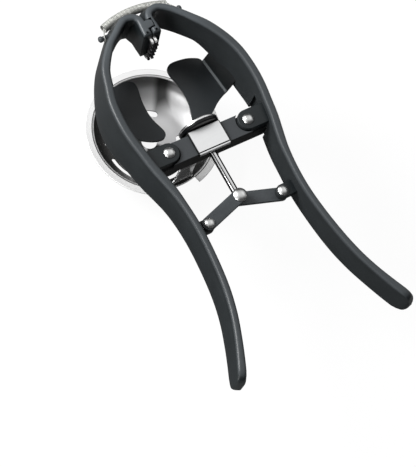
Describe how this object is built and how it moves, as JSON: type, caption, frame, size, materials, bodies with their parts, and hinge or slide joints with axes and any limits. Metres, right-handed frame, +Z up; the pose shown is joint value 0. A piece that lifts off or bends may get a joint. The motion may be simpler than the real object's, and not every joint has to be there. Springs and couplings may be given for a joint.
{
  "type": "egg cracker",
  "caption": "Hand-held egg cracker: two sprung arms on a crossbar spread toothed jaws while toggle links push a rod and disc at the egg, over a hanging slotted separator dish.",
  "frame": {"origin": "middle of the crossbar's underside, on the line between the two arm pivots", "axes": "+X towards the right arm, +Y towards the jaws, +Z up out of the open top"},
  "size_m": [0.1092, 0.2115, 0.0849],
  "materials": {
    "slate_casting": "satin slate coating",
    "black_casting": "black coating",
    "black_sheet": "black coated sheet",
    "dark_blade": "blackened steel",
    "polished_steel": "polished",
    "bright_sheet": "bright satin",
    "spring_wire": "bright wire"
  },
  "bodies": {
    "frame": {"crossbar": "black_casting", "guide_saddle": "polished_steel", "left_pivot_rivet": "polished_steel", "right_pivot_rivet": "polished_steel", "front_spring": "spring_wire"},
    "left_lever": {"left_arm": "slate_casting", "left_tooth_blade": "dark_blade", "left_cradle_wing": "black_sheet", "left_spring_peg": "polished_steel", "left_link_rivet": "polished_steel"},
    "right_lever": {"right_arm": "slate_casting", "right_tooth_blade": "dark_blade", "right_cradle_wing": "black_sheet", "right_spring_peg": "polished_steel", "right_link_rivet": "polished_steel"},
    "left_toggle": {"left_link": "black_sheet"},
    "right_toggle": {"right_link": "black_sheet"},
    "pusher": {"push_rod": "polished_steel", "centre_rivet": "polished_steel", "pusher_disc": "polished_steel"},
    "separator": {"separator_bowl": "bright_sheet", "separator_hanger": "bright_sheet"}
  },
  "joints": [
    {"name": "left_arm_pivot", "type": "hinge", "parent": "frame", "child": "left_lever", "pos_m": [-0.024, 0, 0.009], "axis": [0, 0, 1], "range_deg": [0, 8], "stiffness_Nm_per_rad": 6, "springref_deg": -6.3, "deforming": ["front_spring"]},
    {"name": "right_arm_pivot", "type": "hinge", "parent": "frame", "child": "right_lever", "pos_m": [0.024, 0, 0.009], "axis": [0, 0, -1], "range_deg": [0, 8], "deforming": ["front_spring"]},
    {"name": "left_link_pin", "type": "hinge", "parent": "left_lever", "child": "left_toggle", "pos_m": [-0.0227, -0.0421, 0.0093], "axis": [0, 0, 1], "range_deg": [0, 21]},
    {"name": "right_link_pin", "type": "hinge", "parent": "right_lever", "child": "right_toggle", "pos_m": [0.0227, -0.0421, 0.0045], "axis": [0, 0, -1], "range_deg": [0, 21]},
    {"name": "pusher_slide", "type": "slide", "parent": "frame", "child": "pusher", "axis": [0, 1, 0], "range_m": [0, 0.011]},
    {"name": "separator_slide", "type": "slide", "parent": "frame", "child": "separator", "axis": [0, 0, -1], "range_m": [0, 0.006]}
  ],
  "couplings": [
    {"joint": "right_arm_pivot", "follows": "left_arm_pivot", "ratio": 1},
    {"joint": "left_link_pin", "follows": "left_arm_pivot", "ratio": 2.6152},
    {"joint": "right_link_pin", "follows": "left_arm_pivot", "ratio": 2.6152},
    {"joint": "pusher_slide", "follows": "left_arm_pivot", "m_per_rad": 0.078384}
  ]
}
